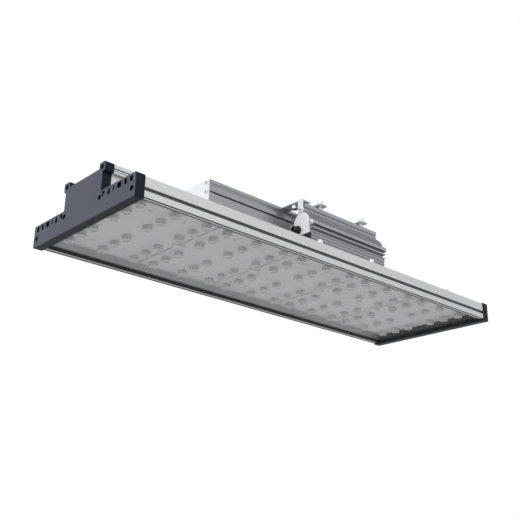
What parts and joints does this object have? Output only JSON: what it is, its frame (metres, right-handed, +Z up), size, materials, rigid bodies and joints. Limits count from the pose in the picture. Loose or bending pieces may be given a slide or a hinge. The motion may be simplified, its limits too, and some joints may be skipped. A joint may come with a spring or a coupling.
{
  "type": "led light fixture",
  "caption": "Long industrial LED luminaire: finned aluminium body with a glass window over lensed boards, moulded end caps, and a control gear box and finned driver on its back.",
  "frame": {"origin": "centre of the underside, in the plane of the end caps' lower faces", "axes": "+X along the body, +Y away from the finned driver, +Z up, with the light facing down"},
  "size_m": [0.7, 0.232, 0.1146],
  "materials": {
    "body_aluminium": "satin anodised extrusion",
    "cap_plastic": "fine-textured moulding",
    "black_rubber": "matt",
    "black_steel": "black oxide",
    "window_glass": "clear, flat",
    "board_white": "satin white solder mask",
    "lens_acrylic": "moulded, glossy",
    "led_package": "phosphor face",
    "connector_white": "moulded",
    "gear_aluminium": "satin anodised extrusion",
    "plate_white": "satin white paint",
    "driver_aluminium": "grey anodised extrusion",
    "zinc_steel": "bright zinc plate",
    "base_steel": "zinc plated sheet",
    "gland_black": "moulded",
    "insulating_film": "satin film",
    "circuit_green": "solder mask",
    "transformer_core": "wound core with tape",
    "capacitor_sleeve": "printed sleeve, bare"
  },
  "bodies": {
    "root": {"housing_extrusion": "body_aluminium", "end_cap_near": "cap_plastic", "end_cap_far": "cap_plastic", "end_gasket_near": "black_rubber", "end_gasket_far": "black_rubber", "cap_screws": "black_steel", "window_glass": "window_glass", "window_seal_left": "black_rubber", "window_seal_right": "black_rubber", "led_board_1": "board_white", "led_board_2": "board_white", "led_board_3": "board_white", "led_board_4": "board_white", "led_board_5": "board_white", "led_chips": "led_package", "lenses": "lens_acrylic", "board_screws": "zinc_steel", "board_links": "connector_white", "terminal_block": "connector_white", "gear_case": "gear_aluminium", "gear_end_plate_near": "plate_white", "gear_end_plate_far": "plate_white", "gear_plate_screws": "zinc_steel", "gear_foot_screws": "zinc_steel", "gear_gland_left": "gland_black", "gear_gland_right": "gland_black", "gear_insulating_pad": "insulating_film", "gear_circuit_board": "circuit_green", "gear_transformer": "transformer_core", "gear_capacitors": "capacitor_sleeve", "driver_case": "driver_aluminium", "driver_end_plate_near": "plate_white", "driver_end_plate_far": "plate_white", "driver_end_seals": "black_rubber", "driver_gland": "gland_black", "driver_insulating_pad": "insulating_film", "driver_circuit_board": "circuit_green", "driver_transformer": "transformer_core", "driver_capacitors": "capacitor_sleeve", "driver_plate_screws": "zinc_steel", "driver_base": "base_steel", "base_washers": "zinc_steel", "base_bolts": "zinc_steel", "base_nuts": "zinc_steel", "strap_near": "zinc_steel", "strap_far": "zinc_steel", "strap_studs": "zinc_steel", "strap_washers": "zinc_steel", "strap_nuts": "zinc_steel", "roof_screws": "zinc_steel", "tie_bracket": "zinc_steel", "earth_washer": "zinc_steel", "earth_bolt": "zinc_steel"}
  },
  "joints": []
}
